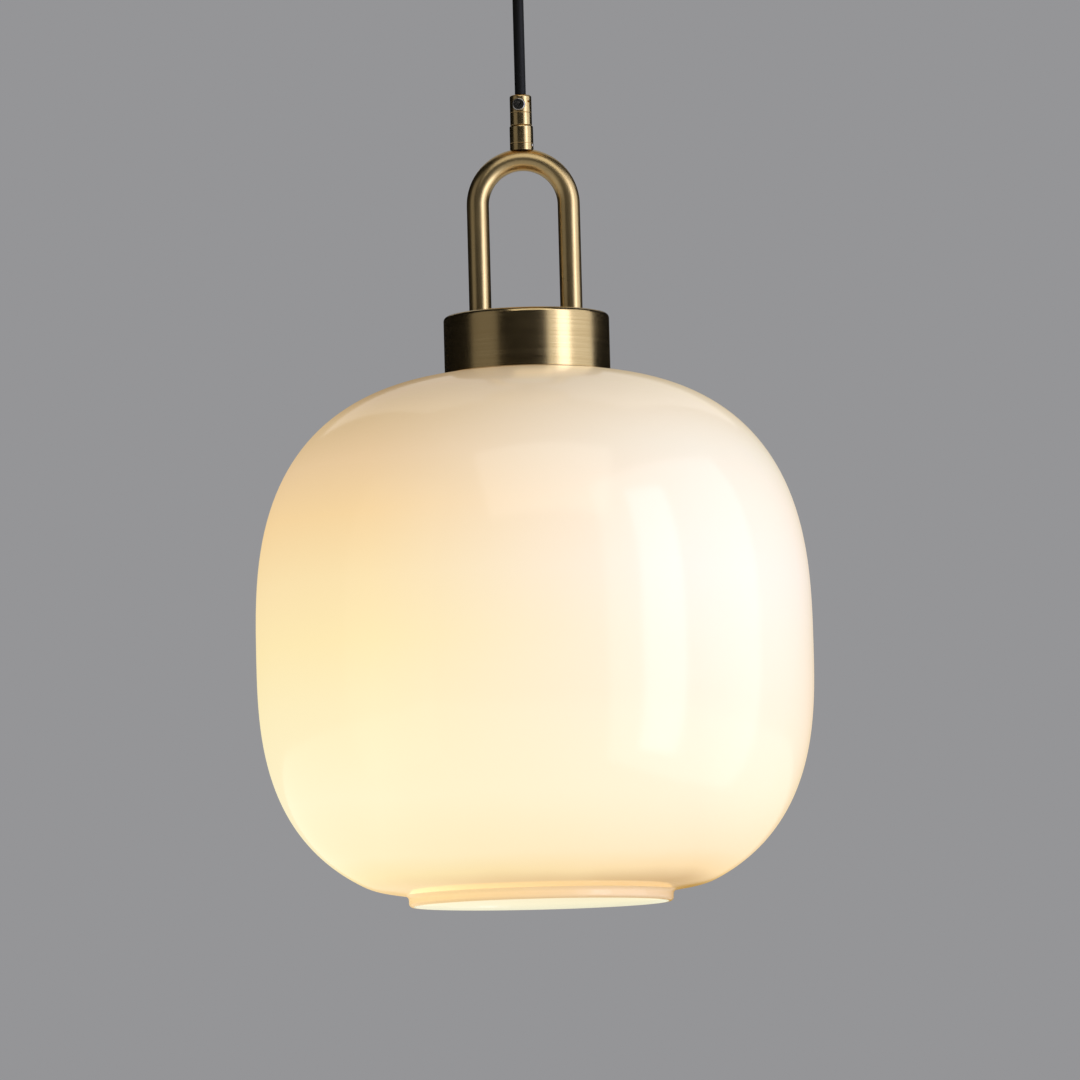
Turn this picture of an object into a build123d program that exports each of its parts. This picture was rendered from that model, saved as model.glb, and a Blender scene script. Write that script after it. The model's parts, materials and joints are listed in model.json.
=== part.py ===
from build123d import *
from math import acos, cos, pi, sin, sqrt
import os

# Pendant ceiling light, in millimetres. An opal glass shade hangs in a brass cap from a brass loop,
# a cord grip and a textile cord. The origin is on the ceiling, above the lamp's axis, and +Z is up.
# Heights are given above the shade's rim, and level() turns them into z.

DROP = 460.0  # from the ceiling to the shade's rim

# Shade: two quarters of a superellipse, turned about the axis, with a short collar at the mouth
SHADE_R = 125.0
SHADE_WIDEST = 113.0
SHADE_RISE = 127.0
SHADE_FALL = 116.2
SHADE_EXPONENT = 2.79
SHADE_WALL = 3.0
SHADE_HOLE_R = 21.0
SHADE_LOW_R = 80.0  # below this radius the underside runs straight to the collar
COLLAR_R = 59.2
COLLAR_BORE_R = 55.6
COLLAR_TOP = 5.3
COLLAR_BEND_R = 2.4
RIM_ROUND = 1.6
COLLAR_SLOPE = 0.18  # of the underside where it meets the collar
COLLAR_BORE_TOP = 4.5

# Cap and loop handle
CAP_R = 37.3
CAP_TOP = 265.0
CAP_FOOT = 238.75
CAP_WALL = 1.2
CAP_ROUND = 2.0
TUBE_R = 5.0
TUBE_BORE_R = 4.0
LEG_X = 20.5  # half the distance between the legs, and the arch's radius
ARCH_CENTRE = 315.5
SPIGOT_R = 3.97
SPIGOT_BORE_R = 2.6
SPIGOT_FOOT = 256.0
SPIGOT_TOP = 273.0
SPIGOT_HOLE_R = 4.1

# Grip between the loop and the cord
GRIP_R = 4.9
COUPLING_R = 5.3
SADDLE_TOP = 343.0
SADDLE_BORE_R = 4.0
SADDLE_FOOT = 340.0
COUPLING_TOP = 351.4
SLEEVE_TOP = 357.1
GRIP_TOP = 365.1
SWIVEL_R = 3.6
FIT = 0.05  # radial clearance of a turned fit
WIRE_HOLE_R = 3.2
PIN_R = 4.0  # of the sleeve's upper end, inside the head
PIN_LENGTH = 1.3
GROOVE_R = 3.05  # of the sleeve, where the swivel screw runs
SCREW_LEVEL = 360.5
SCREW_AZIMUTH = -9
SCREW_HEAD_R = 2.9
SCREW_SHANK_R = 1.5
SCREW_SEAT = 4.3  # of the head's recess, from the axis
SCREW_FACE = 6.05
VENT_LEVEL = 361.9
VENT_AZIMUTH = 46
SWIVEL_SCREW_LEVEL = 348.2
BEAD_LEVEL = 342.1
BEAD_R = 0.7
BEAD_AZIMUTH = 60

# Cord and ceiling outlet
CORD_R = 2.5
CORD_BORE_R = 2.55
CORD_FOOT = 350.0
PIVOT = 419.0
OUTLET_FOOT = 414.0
OUTLET_R = 6.5
OUTLET_BORE_R = 4.4
OUTLET_THROAT = 426.5
TAIL_TOP = 443.5

# Canopy and bracket
CANOPY_R = 50.0
CANOPY_HEIGHT = 26.0
CANOPY_WALL = 1.2
CANOPY_GAP = 0.3  # left between the canopy and the ceiling
BRACKET_X = 47.5
BRACKET_WIDTH = 20.0
BRACKET_THICK = 2.0
BRACKET_EAR = 16.0
CEILING_SCREW_X = 30.0
CEILING_HOLE_R = 2.25
SIDE_SCREW_Z = -10.0
SIDE_SCREW_R = 2.0
SIDE_HEAD_R = 4.0
THREAD_R = 5.0  # of the outlet and its nut

# Lampholder carrier under the cap
CARRIER_X = 30.0
CARRIER_WIDTH = 18.0
CARRIER_THICK = 2.0
CARRIER_TOP = CAP_TOP - CAP_WALL
CARRIER_FOOT = 249.0
NIPPLE_R = 5.0
NIPPLE_BORE_R = 3.6
NIPPLE_FOOT = 245.8
NIPPLE_TOP = 253.2
EARTH_X = 14.0
EARTH_SCREW_R = 2.0
WASHER_THICK = 0.8

# Lampholder, E27
HOLDER_R = 19.4
HOLDER_FOOT = 200.0
INSERT_FOOT = 203.0
DOME_FOOT = 241.3
INSERT_TOP = 238.0
SOCKET_FLOOR = 233.0
SOCKET_R = 13.35
SHIELD_R = 17.7  # of the skirt's bore
DOME_R = 25.0
TERMINAL_X = 10.5
TERMINAL_LEVEL = 240.2
RING_TOP = 235.0

# Bulb, E27, 60 mm across
BULB_TIP = 232.0
SHELL_R = 13.1
SHELL_TOP = 226.8
SHELL_FOOT = 203.0
GLOBE_R = 30.0
GLOBE_CENTRE = 154.0
GLOBE_TOP = 172.0

WIRE_R = 0.9
WIRE_X = 1.3
PAIR_Y = 1.3  # of the two wires that share a leg
EARTH_TURN = 252.2


def level(height):
    """The z of a height above the shade's rim."""
    return height - DROP


def turned(*outline):
    """Turns a closed outline of (radius, z) points about the axis."""
    with BuildSketch(Plane.XZ) as profile:
        with BuildLine():
            Polyline(*outline, close=True)
        make_face()
    revolve(profile.sketch, axis=Axis.Z)


def ring(inner_r, outer_r, low, high):
    """A plain ring, or a disc when inner_r is 0, between two z values."""
    with BuildSketch(Plane.XY.offset(low)) as profile:
        Circle(outer_r)
        if inner_r:
            Circle(inner_r, mode=Mode.SUBTRACT)
    extrude(profile.sketch, amount=high - low)


def hex_nut(x, across_flats, bore_r, low, high):
    """A hexagon nut on a vertical axis at x, with flats towards +X and -X."""
    with BuildSketch(Plane.XY.offset(low)) as profile:
        with Locations((x, 0)):
            RegularPolygon(across_flats / 2, 6, major_radius=False, rotation=30)
            Circle(bore_r, mode=Mode.SUBTRACT)
    extrude(profile.sketch, amount=high - low)


def radial(azimuth, z, distance=0.0):
    """A plane that faces outwards at that azimuth from the front, at that distance from the axis."""
    out = Vector(sin(azimuth * pi / 180), -cos(azimuth * pi / 180), 0)
    return Plane(origin=out * distance + Vector(0, 0, z), z_dir=out)


def finish(builder, name):
    """Labels a finished piece and writes its file."""
    builder.part.label = name
    export_step(builder.part, f"parts/{name}.step")


def bowl_points(inset, top_r, low_r, steps):
    """Points down the bowl's wall from the top hole to where the straight underside starts."""
    power = 2 / SHADE_EXPONENT
    outer = SHADE_R - inset
    top_angle = acos((top_r / outer) ** (1 / power))
    low_angle = acos((low_r / outer) ** (1 / power))
    points = []
    for i in range(steps + 1):
        angle = top_angle * (1 - i / steps)
        rise = (SHADE_RISE - inset) * sin(angle) ** power
        points.append((outer * cos(angle) ** power, level(SHADE_WIDEST + rise)))
    for i in range(1, steps + 1):
        angle = low_angle * i / steps
        fall = (SHADE_FALL - inset) * sin(angle) ** power
        points.append((outer * cos(angle) ** power, level(SHADE_WIDEST - fall)))
    return points


def arcs_through(points):
    """Draws an arc from every other point to the next but one, by way of the point between them."""
    for start, middle, end in zip(points[:-2:2], points[1:-1:2], points[2::2]):
        ThreePointArc(start, middle, end)


os.makedirs("parts", exist_ok=True)

# ---------------------------------------------------------------- ceiling fitting

with BuildPart() as ceiling_bracket:
    with BuildSketch(Plane.XY.offset(-BRACKET_THICK)):
        Rectangle(2 * BRACKET_X, BRACKET_WIDTH)
        with Locations((-CEILING_SCREW_X, 0), (CEILING_SCREW_X, 0)):
            Circle(CEILING_HOLE_R, mode=Mode.SUBTRACT)
    extrude(amount=BRACKET_THICK)
    with BuildSketch(Plane.XY.offset(-BRACKET_EAR)):
        with Locations((-BRACKET_X + BRACKET_THICK / 2, 0), (BRACKET_X - BRACKET_THICK / 2, 0)):
            Rectangle(BRACKET_THICK, BRACKET_WIDTH)
    extrude(amount=BRACKET_EAR)
    with BuildSketch(Plane.YZ.offset(-BRACKET_X)):
        with Locations((0, SIDE_SCREW_Z)):
            Circle(SIDE_SCREW_R + FIT)
    extrude(amount=2 * BRACKET_X, mode=Mode.SUBTRACT)
finish(ceiling_bracket, "ceiling_bracket")

with BuildPart() as canopy:
    ring(0, CANOPY_R, -CANOPY_HEIGHT, -CANOPY_GAP)
    fillet(canopy.edges().group_by(Axis.Z)[0], 5.0)
    offset(amount=-CANOPY_WALL, openings=canopy.faces().sort_by(Axis.Z)[-1])
    with BuildSketch(Plane.XY.offset(-CANOPY_HEIGHT - 1)):
        Circle(THREAD_R + 0.2)
    extrude(amount=5, mode=Mode.SUBTRACT)
    with BuildSketch(Plane.YZ.offset(-CANOPY_R - 1)):
        with Locations((0, SIDE_SCREW_Z)):
            Circle(SIDE_SCREW_R + 0.2)
    extrude(amount=2 * CANOPY_R + 2, mode=Mode.SUBTRACT)
finish(canopy, "canopy")

with BuildPart() as canopy_screws:
    for side in (90, -90):
        with BuildSketch(radial(side, SIDE_SCREW_Z, CANOPY_R + 0.1)):
            Circle(SIDE_HEAD_R)
        extrude(amount=3.0)
        with BuildSketch(radial(side, SIDE_SCREW_Z, CANOPY_R - 6)):
            Circle(SIDE_SCREW_R)
        extrude(amount=6.5)
    heads = canopy_screws.faces().filter_by(Axis.X).group_by(Axis.X)
    fillet(heads[-1].edges() + heads[0].edges(), 0.8)
finish(canopy_screws, "canopy_screws")

BLOCK_X = 14.0
BLOCK_SIZE = (20.0, 18.0, 12.0)
POLE_PITCH = 6.0
POLE_Z = -BRACKET_THICK - 7.0
POLE_XS = [BLOCK_X + POLE_PITCH * i for i in (-1, 0, 1)]
POLE_SCREWS = [(x, y) for x in POLE_XS for y in (-4.5, 4.5)]
SLEEVE_R = 2.2
SLEEVE_BORE_R = 1.5
SLEEVE_HALF = 8.0

with BuildPart() as terminal_block:
    with BuildSketch(Plane.XY.offset(-BRACKET_THICK - BLOCK_SIZE[2])):
        with Locations((BLOCK_X, 0)):
            RectangleRounded(BLOCK_SIZE[0], BLOCK_SIZE[1], 1.0)
    extrude(amount=BLOCK_SIZE[2])
    with BuildSketch(Plane.XZ.offset(-BLOCK_SIZE[1] / 2)):
        with Locations(*[(x, POLE_Z) for x in POLE_XS]):
            Circle(SLEEVE_R + FIT)
    extrude(amount=BLOCK_SIZE[1], mode=Mode.SUBTRACT)
    with BuildSketch(Plane.XY.offset(POLE_Z)):
        with Locations(*POLE_SCREWS):
            Circle(1.6)
    extrude(amount=-10, mode=Mode.SUBTRACT)
finish(terminal_block, "terminal_block")

with BuildPart() as terminal_sleeves:
    with BuildSketch(Plane.XZ.offset(-SLEEVE_HALF)):
        with Locations(*[(x, POLE_Z) for x in POLE_XS]):
            Circle(SLEEVE_R)
            Circle(SLEEVE_BORE_R, mode=Mode.SUBTRACT)
    extrude(amount=2 * SLEEVE_HALF)
    with BuildSketch(Plane.XY.offset(POLE_Z)):
        with Locations(*POLE_SCREWS):
            Circle(1.25)
    extrude(amount=-3.0, mode=Mode.SUBTRACT)
finish(terminal_sleeves, "terminal_sleeves")

with BuildPart() as terminal_screws:
    with BuildSketch(Plane.XY.offset(POLE_Z - 5.2)):
        with Locations(*POLE_SCREWS):
            Circle(1.2)
    extrude(amount=3.9)
finish(terminal_screws, "terminal_screws")

FLANGE_R = 10.0
THREAD_RISE = 9.0
NUT_FLATS = 14.0

with BuildPart() as cord_outlet:
    turned(
        (OUTLET_R, level(OUTLET_FOOT)),
        (OUTLET_R, -CANOPY_HEIGHT - 2.5),
        (FLANGE_R, -CANOPY_HEIGHT - 2.0),
        (FLANGE_R, -CANOPY_HEIGHT),
        (THREAD_R, -CANOPY_HEIGHT),
        (THREAD_R, -CANOPY_HEIGHT + THREAD_RISE),
        (CORD_BORE_R, -CANOPY_HEIGHT + THREAD_RISE),
        (CORD_BORE_R, level(OUTLET_THROAT)),
        (OUTLET_BORE_R, level(OUTLET_THROAT)),
        (OUTLET_BORE_R, level(OUTLET_FOOT)),
    )
    foot = cord_outlet.edges().filter_by(GeomType.CIRCLE).group_by(Axis.Z)[0]
    fillet(foot.sort_by(SortBy.RADIUS)[-1], 1.4)
    fillet(cord_outlet.edges().group_by(Axis.Z)[0].sort_by(SortBy.RADIUS)[0], 0.6)
finish(cord_outlet, "cord_outlet")

with BuildPart() as outlet_nut:
    nut_z = -CANOPY_HEIGHT + CANOPY_WALL
    hex_nut(0, NUT_FLATS, THREAD_R + FIT, nut_z, nut_z + 3)
finish(outlet_nut, "outlet_nut")

with BuildPart() as cord_tail:
    ring(0, CORD_R, level(OUTLET_THROAT), level(TAIL_TOP))
finish(cord_tail, "cord_tail")

# Three conductors leave the cord's tail and turn into the terminal block's sleeves
SLEEVE_END = -6.5
TAIL_ROUTES = {
    "tail_live_wire": [
        (1.35, -0.6, level(TAIL_TOP)),
        (1.35, -0.6, POLE_Z),
        (1.35, -13.0, POLE_Z),
        (POLE_XS[0], -13.0, POLE_Z),
        (POLE_XS[0], SLEEVE_END, POLE_Z),
    ],
    "tail_neutral_wire": [
        (-1.35, -0.6, level(TAIL_TOP)),
        (-1.35, -0.6, POLE_Z),
        (-1.35, -16.0, POLE_Z),
        (POLE_XS[1], -16.0, POLE_Z),
        (POLE_XS[1], SLEEVE_END, POLE_Z),
    ],
    "tail_earth_wire": [
        (0, 1.4, level(TAIL_TOP)),
        (0, 1.4, POLE_Z + 2.5),
        (0, -19.0, POLE_Z + 2.5),
        (POLE_XS[2], -19.0, POLE_Z + 2.5),
        (POLE_XS[2], -12.0, POLE_Z),
        (POLE_XS[2], SLEEVE_END, POLE_Z),
    ],
}
for wire_name, route in TAIL_ROUTES.items():
    with BuildPart() as tail_wire:
        with BuildLine() as tail_path:
            FilletPolyline(*route, radius=2.0)
        with BuildSketch(tail_path.line ^ 0):
            Circle(WIRE_R)
        sweep()
    finish(tail_wire, wire_name)

# ---------------------------------------------------------------- cord and grip

with BuildPart() as cord_top:
    ring(0, CORD_R, level(PIVOT) + CORD_R + 0.2, level(OUTLET_THROAT) - 0.9)
finish(cord_top, "cord_top")

with BuildPart() as cord:
    ring(0, CORD_R, level(CORD_FOOT), level(PIVOT))
    with Locations((0, 0, level(PIVOT))):
        Sphere(CORD_R)
finish(cord, "cord")

with BuildPart() as grip_head:
    turned(
        (CORD_BORE_R, level(GRIP_TOP)),
        (GRIP_R, level(GRIP_TOP)),
        (GRIP_R, level(SLEEVE_TOP)),
        (PIN_R + FIT, level(SLEEVE_TOP)),
        (PIN_R + FIT, level(SLEEVE_TOP + PIN_LENGTH + 0.1)),
        (CORD_BORE_R, level(SLEEVE_TOP + PIN_LENGTH + 0.1)),
    )
    fillet(grip_head.edges().group_by(Axis.Z)[-1].sort_by(SortBy.RADIUS)[-1], 1.0)
    fillet(grip_head.edges().group_by(Axis.Z)[0].sort_by(SortBy.RADIUS)[-1], 0.2)
    with BuildSketch(radial(SCREW_AZIMUTH, level(SCREW_LEVEL), SCREW_SEAT)):
        Circle(SCREW_HEAD_R + 0.15)
    extrude(amount=3.0, mode=Mode.SUBTRACT)
    with BuildSketch(radial(SCREW_AZIMUTH, level(SCREW_LEVEL))):
        Circle(SCREW_SHANK_R + FIT)
    extrude(amount=6.0, mode=Mode.SUBTRACT)
    with BuildSketch(radial(VENT_AZIMUTH, level(VENT_LEVEL), 3.6)):
        Circle(0.55)
    extrude(amount=3.0, mode=Mode.SUBTRACT)
finish(grip_head, "grip_head")

with BuildPart() as clamp_screw:
    with BuildSketch(radial(SCREW_AZIMUTH, level(SCREW_LEVEL), SCREW_SEAT + FIT)):
        Circle(SCREW_HEAD_R)
    extrude(amount=SCREW_FACE - SCREW_SEAT - FIT)
    with BuildSketch(radial(SCREW_AZIMUTH, level(SCREW_LEVEL), CORD_R + 0.15)):
        Circle(SCREW_SHANK_R)
    extrude(amount=2.0)
    face = clamp_screw.faces().sort_by(Axis.Y)[0]
    fillet(face.edges(), 0.6)
    with BuildSketch(radial(SCREW_AZIMUTH, level(SCREW_LEVEL), SCREW_FACE)):
        RegularPolygon(1.15, 6)
    extrude(amount=-1.3, mode=Mode.SUBTRACT)
finish(clamp_screw, "clamp_screw")

with BuildPart() as grip_sleeve:
    turned(
        (GRIP_R, level(COUPLING_TOP)),
        (GRIP_R, level(SLEEVE_TOP) - FIT),
        (PIN_R, level(SLEEVE_TOP) - FIT),
        (PIN_R, level(SLEEVE_TOP + PIN_LENGTH)),
        (CORD_BORE_R, level(SLEEVE_TOP + PIN_LENGTH)),
        (CORD_BORE_R, level(345.4)),
        (SWIVEL_R, level(345.4)),
        (SWIVEL_R, level(SWIVEL_SCREW_LEVEL - 0.7)),
        (GROOVE_R, level(SWIVEL_SCREW_LEVEL - 0.7)),
        (GROOVE_R, level(SWIVEL_SCREW_LEVEL + 0.7)),
        (SWIVEL_R, level(SWIVEL_SCREW_LEVEL + 0.7)),
        (SWIVEL_R, level(COUPLING_TOP)),
    )
    rims = grip_sleeve.edges().filter_by(GeomType.CIRCLE).group_by(SortBy.RADIUS)[-1]
    fillet(rims, 0.2)
finish(grip_sleeve, "grip_sleeve")

# ---------------------------------------------------------------- coupling, saddle and handle

with BuildPart() as grip_coupling:
    turned(
        (COUPLING_R, level(SADDLE_TOP)),
        (COUPLING_R, level(COUPLING_TOP) - FIT),
        (SWIVEL_R + FIT, level(COUPLING_TOP) - FIT),
        (SWIVEL_R + FIT, level(345.0)),
        (WIRE_HOLE_R, level(345.0)),
        (WIRE_HOLE_R, level(341.4)),
        (SADDLE_BORE_R, level(341.4)),
        (SADDLE_BORE_R, level(SADDLE_TOP)),
    )
    rims = grip_coupling.edges().filter_by(GeomType.CIRCLE).group_by(SortBy.RADIUS)[-1]
    fillet(rims.sort_by(Axis.Z)[-1], 0.9)
    fillet(rims.sort_by(Axis.Z)[0], 0.3)
    with BuildSketch(radial(180, level(SWIVEL_SCREW_LEVEL))):
        Circle(0.85)
    extrude(amount=7.0, mode=Mode.SUBTRACT)
finish(grip_coupling, "grip_coupling")

with BuildPart() as swivel_screw:
    with BuildSketch(radial(180, level(SWIVEL_SCREW_LEVEL), 3.2)):
        Circle(0.65)
    extrude(amount=0.6)
    with BuildSketch(radial(180, level(SWIVEL_SCREW_LEVEL), 3.8)):
        Circle(0.8)
    extrude(amount=1.4)
finish(swivel_screw, "swivel_screw")

with BuildPart() as saddle:
    ring(SADDLE_BORE_R + FIT, COUPLING_R, level(SADDLE_FOOT), level(SADDLE_TOP))
    with BuildSketch(Plane.XY.offset(level(ARCH_CENTRE))):
        with Locations(Location((LEG_X, 0, 0), (0, 0, 90))):
            Circle(TUBE_R + 0.02)
    revolve(axis=Axis((0, 0, level(ARCH_CENTRE)), (0, 1, 0)), mode=Mode.SUBTRACT)
    with BuildSketch(radial(BEAD_AZIMUTH, level(BEAD_LEVEL), 3.0)):
        Circle(BEAD_R + FIT)
    extrude(amount=4.0, mode=Mode.SUBTRACT)
finish(saddle, "saddle")

with BuildPart() as saddle_screw:
    with BuildSketch(radial(BEAD_AZIMUTH, level(BEAD_LEVEL), 4.15)):
        Circle(BEAD_R)
    extrude(amount=1.9)
    outward = radial(BEAD_AZIMUTH, level(BEAD_LEVEL)).z_dir
    fillet(saddle_screw.edges().sort_by(lambda edge: edge.center().dot(outward))[-1], 0.5)
finish(saddle_screw, "saddle_screw")

with BuildPart() as handle:
    with BuildLine() as handle_path:
        left = (-LEG_X, 0, level(CAP_TOP))
        left_spring = (-LEG_X, 0, level(ARCH_CENTRE))
        crown = (0, 0, level(ARCH_CENTRE + LEG_X))
        right_spring = (LEG_X, 0, level(ARCH_CENTRE))
        Line(left, left_spring)
        ThreePointArc(left_spring, crown, right_spring)
        Line(right_spring, (LEG_X, 0, level(CAP_TOP)))
    with BuildSketch(handle_path.line ^ 0):
        Circle(TUBE_R)
        Circle(TUBE_BORE_R, mode=Mode.SUBTRACT)
    sweep()
    with BuildSketch(Plane.XY.offset(level(ARCH_CENTRE + LEG_X))):
        Circle(WIRE_HOLE_R)
    extrude(amount=8.0, mode=Mode.SUBTRACT)
finish(handle, "handle")

with BuildPart() as handle_spigots:
    with BuildSketch(Plane.XY.offset(level(SPIGOT_FOOT))):
        with Locations((-LEG_X, 0), (LEG_X, 0)):
            Circle(SPIGOT_R)
            Circle(SPIGOT_BORE_R, mode=Mode.SUBTRACT)
    extrude(amount=SPIGOT_TOP - SPIGOT_FOOT)
finish(handle_spigots, "handle_spigots")

with BuildPart() as cap:
    ring(0, CAP_R, level(CAP_FOOT), level(CAP_TOP))
    fillet(cap.edges().group_by(Axis.Z)[-1], CAP_ROUND)
    offset(amount=-CAP_WALL, openings=cap.faces().sort_by(Axis.Z)[0])
    with BuildSketch(Plane.XY.offset(level(CAP_TOP) + 1)):
        with Locations((-LEG_X, 0), (LEG_X, 0)):
            Circle(SPIGOT_HOLE_R)
    extrude(amount=-5, mode=Mode.SUBTRACT)
finish(cap, "cap")

# ---------------------------------------------------------------- inside the cap

with BuildPart() as holder_carrier:
    with BuildSketch(Plane.XZ.offset(-CARRIER_WIDTH / 2)):
        with Locations((0, level((CARRIER_TOP + CARRIER_FOOT) / 2))):
            Rectangle(2 * CARRIER_X, CARRIER_TOP - CARRIER_FOOT)
            Rectangle(
                2 * (CARRIER_X - CARRIER_THICK),
                CARRIER_TOP - CARRIER_FOOT - 2 * CARRIER_THICK,
                mode=Mode.SUBTRACT,
            )
    extrude(amount=CARRIER_WIDTH)
    with BuildSketch(Plane.XY.offset(level(CARRIER_TOP))):
        with Locations((-LEG_X, 0), (LEG_X, 0)):
            Circle(SPIGOT_HOLE_R)
    extrude(amount=-CARRIER_THICK, mode=Mode.SUBTRACT)
    with BuildSketch(Plane.XY.offset(level(CARRIER_FOOT))):
        Circle(NIPPLE_R + 0.1)
        with Locations((-EARTH_X, 0)):
            Circle(EARTH_SCREW_R + FIT)
    extrude(amount=CARRIER_THICK, mode=Mode.SUBTRACT)
finish(holder_carrier, "holder_carrier")

WASHER_FOOT = CARRIER_TOP - CARRIER_THICK - WASHER_THICK

with BuildPart() as leg_washers:
    with BuildSketch(Plane.XY.offset(level(WASHER_FOOT))):
        with Locations((-LEG_X, 0), (LEG_X, 0)):
            Circle(7.0)
            Circle(SPIGOT_HOLE_R, mode=Mode.SUBTRACT)
    extrude(amount=WASHER_THICK)
finish(leg_washers, "leg_washers")

with BuildPart() as leg_nuts:
    for nut_x in (-LEG_X, LEG_X):
        hex_nut(nut_x, 13.0, SPIGOT_R + FIT, level(WASHER_FOOT - 4), level(WASHER_FOOT))
finish(leg_nuts, "leg_nuts")

with BuildPart() as nipple:
    ring(NIPPLE_BORE_R, NIPPLE_R, level(NIPPLE_FOOT), level(NIPPLE_TOP))
finish(nipple, "nipple")

with BuildPart() as nipple_nut:
    nut_foot = CARRIER_FOOT + CARRIER_THICK
    hex_nut(0, NUT_FLATS, NIPPLE_R + FIT, level(nut_foot), level(nut_foot + 2))
finish(nipple_nut, "nipple_nut")

with BuildPart() as earth_screw:
    with Locations((-EARTH_X, 0, level(nut_foot))):
        Cylinder(3.5, 1.8, align=(Align.CENTER, Align.CENTER, Align.MIN))
        Cylinder(EARTH_SCREW_R, 3.0, align=(Align.CENTER, Align.CENTER, Align.MAX))
    fillet(earth_screw.edges().group_by(Axis.Z)[-1], 0.6)
finish(earth_screw, "earth_screw")

# ---------------------------------------------------------------- lampholder

with BuildPart() as holder_dome:
    turned(
        (NIPPLE_R + FIT, level(CARRIER_FOOT)),
        (7.5, level(CARRIER_FOOT)),
        (7.5, level(CARRIER_FOOT - 1.5)),
        (24.0, level(245.5)),
        (DOME_R, level(244.6)),
        (DOME_R, level(DOME_FOOT)),
        (SHIELD_R, level(DOME_FOOT)),
        (SHIELD_R, level(243.8)),
        (9.0, level(245.4)),
        (NIPPLE_R + FIT, level(245.4)),
    )
finish(holder_dome, "holder_dome")

with BuildPart() as holder_body:
    turned(
        (SHIELD_R, level(DOME_FOOT)),
        (HOLDER_R, level(DOME_FOOT)),
        (HOLDER_R, level(HOLDER_FOOT + 1)),
        (HOLDER_R - 1, level(HOLDER_FOOT)),
        (16.4, level(HOLDER_FOOT)),
        (16.4, level(HOLDER_FOOT + 1.6)),
        (SHIELD_R, level(HOLDER_FOOT + 1.6)),
    )
finish(holder_body, "holder_body")

with BuildPart() as socket_insert:
    turned(
        (0, level(SOCKET_FLOOR)),
        (SOCKET_R + 0.6, level(SOCKET_FLOOR)),
        (SOCKET_R + 0.6, level(INSERT_FOOT)),
        (17.5, level(INSERT_FOOT)),
        (17.5, level(INSERT_TOP)),
        (0, level(INSERT_TOP)),
    )
finish(socket_insert, "socket_insert")

with BuildPart() as socket_shell:
    ring(SOCKET_R, SOCKET_R + 0.5, level(204.0), level(SOCKET_FLOOR - 0.5))
finish(socket_shell, "socket_shell")

with BuildPart() as socket_contact:
    ring(0, 4.0, level(BULB_TIP + 0.2), level(SOCKET_FLOOR))
    fillet(socket_contact.edges().group_by(Axis.Z)[0], 0.4)
finish(socket_contact, "socket_contact")

with BuildPart() as socket_terminals:
    for side in (-1, 1):
        with Locations((side * TERMINAL_X, 0, level(INSERT_TOP))):
            Box(6.0, 7.0, 4.4, align=(Align.CENTER, Align.CENTER, Align.MIN))
        with BuildSketch(Plane.YZ.offset(side * 7.0)):
            with Locations((-PAIR_Y if side < 0 else 0, level(TERMINAL_LEVEL))):
                Circle(WIRE_R + FIT)
        extrude(amount=side * 4.0, mode=Mode.SUBTRACT)
finish(socket_terminals, "socket_terminals")

with BuildPart() as upper_gasket:
    ring(SHADE_HOLE_R, 25.5, level(239.75), level(DOME_FOOT))
finish(upper_gasket, "upper_gasket")

with BuildPart() as lower_gasket:
    ring(20.0, 28.0, level(RING_TOP), level(RING_TOP + 1.2))
finish(lower_gasket, "lower_gasket")

with BuildPart() as shade_ring:
    turned(
        (HOLDER_R + 0.15, level(RING_TOP)),
        (28.5, level(RING_TOP)),
        (28.5, level(233.0)),
        (22.5, level(232.2)),
        (22.5, level(227.0)),
        (HOLDER_R + 0.15, level(227.0)),
    )
    with BuildSketch(Plane.XY.offset(level(226.0))):
        with PolarLocations(23.2, 24):
            Circle(1.1)
    extrude(amount=5.0, mode=Mode.SUBTRACT)
finish(shade_ring, "shade_ring")

# ---------------------------------------------------------------- glass shade

collar_bend = (COLLAR_R + COLLAR_BEND_R, level(COLLAR_TOP))
collar_wall = (COLLAR_R, level(COLLAR_TOP - COLLAR_BEND_R))
rim_outside = (COLLAR_R, level(RIM_ROUND))
rim_inside = (COLLAR_BORE_R, level(RIM_ROUND))
bore_top = (COLLAR_BORE_R, level(COLLAR_BORE_TOP))
with BuildPart() as glass_shade:
    with BuildSketch(Plane.XZ):
        with BuildLine():
            outer_points = bowl_points(0, SHADE_HOLE_R, SHADE_LOW_R, 9)
            outer_points.append((COLLAR_R + 9.0, level(COLLAR_TOP + 1.7)))
            outer_points.append(collar_bend)
            arcs_through(outer_points)
            TangentArc(collar_bend, collar_wall, tangent=(-1, -COLLAR_SLOPE))
            Line(collar_wall, rim_outside)
            TangentArc(rim_outside, (COLLAR_R - RIM_ROUND, level(0)), tangent=(0, -1))
            Line((COLLAR_R - RIM_ROUND, level(0)), (COLLAR_BORE_R + RIM_ROUND, level(0)))
            TangentArc((COLLAR_BORE_R + RIM_ROUND, level(0)), rim_inside, tangent=(-1, 0))
            Line(rim_inside, bore_top)
            inner_points = bowl_points(SHADE_WALL, SHADE_HOLE_R, SHADE_LOW_R - 3, 9)
            inner_points.append((COLLAR_R + 5.0, level(COLLAR_TOP + 4.2)))
            inner_points.append(bore_top)
            arcs_through(inner_points)
            Line(outer_points[0], inner_points[0])
        make_face()
    revolve(axis=Axis.Z)
finish(glass_shade, "glass_shade")

# ---------------------------------------------------------------- wires through the handle

# Each wire drops through the saddle, bends into the arch's bore and follows it down a leg
ARCH_TURN_R = 4.0
turn_x = WIRE_X + ARCH_TURN_R
turn_rise = sqrt((LEG_X + ARCH_TURN_R) ** 2 - turn_x**2)
meet_share = LEG_X / (LEG_X + ARCH_TURN_R)


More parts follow.
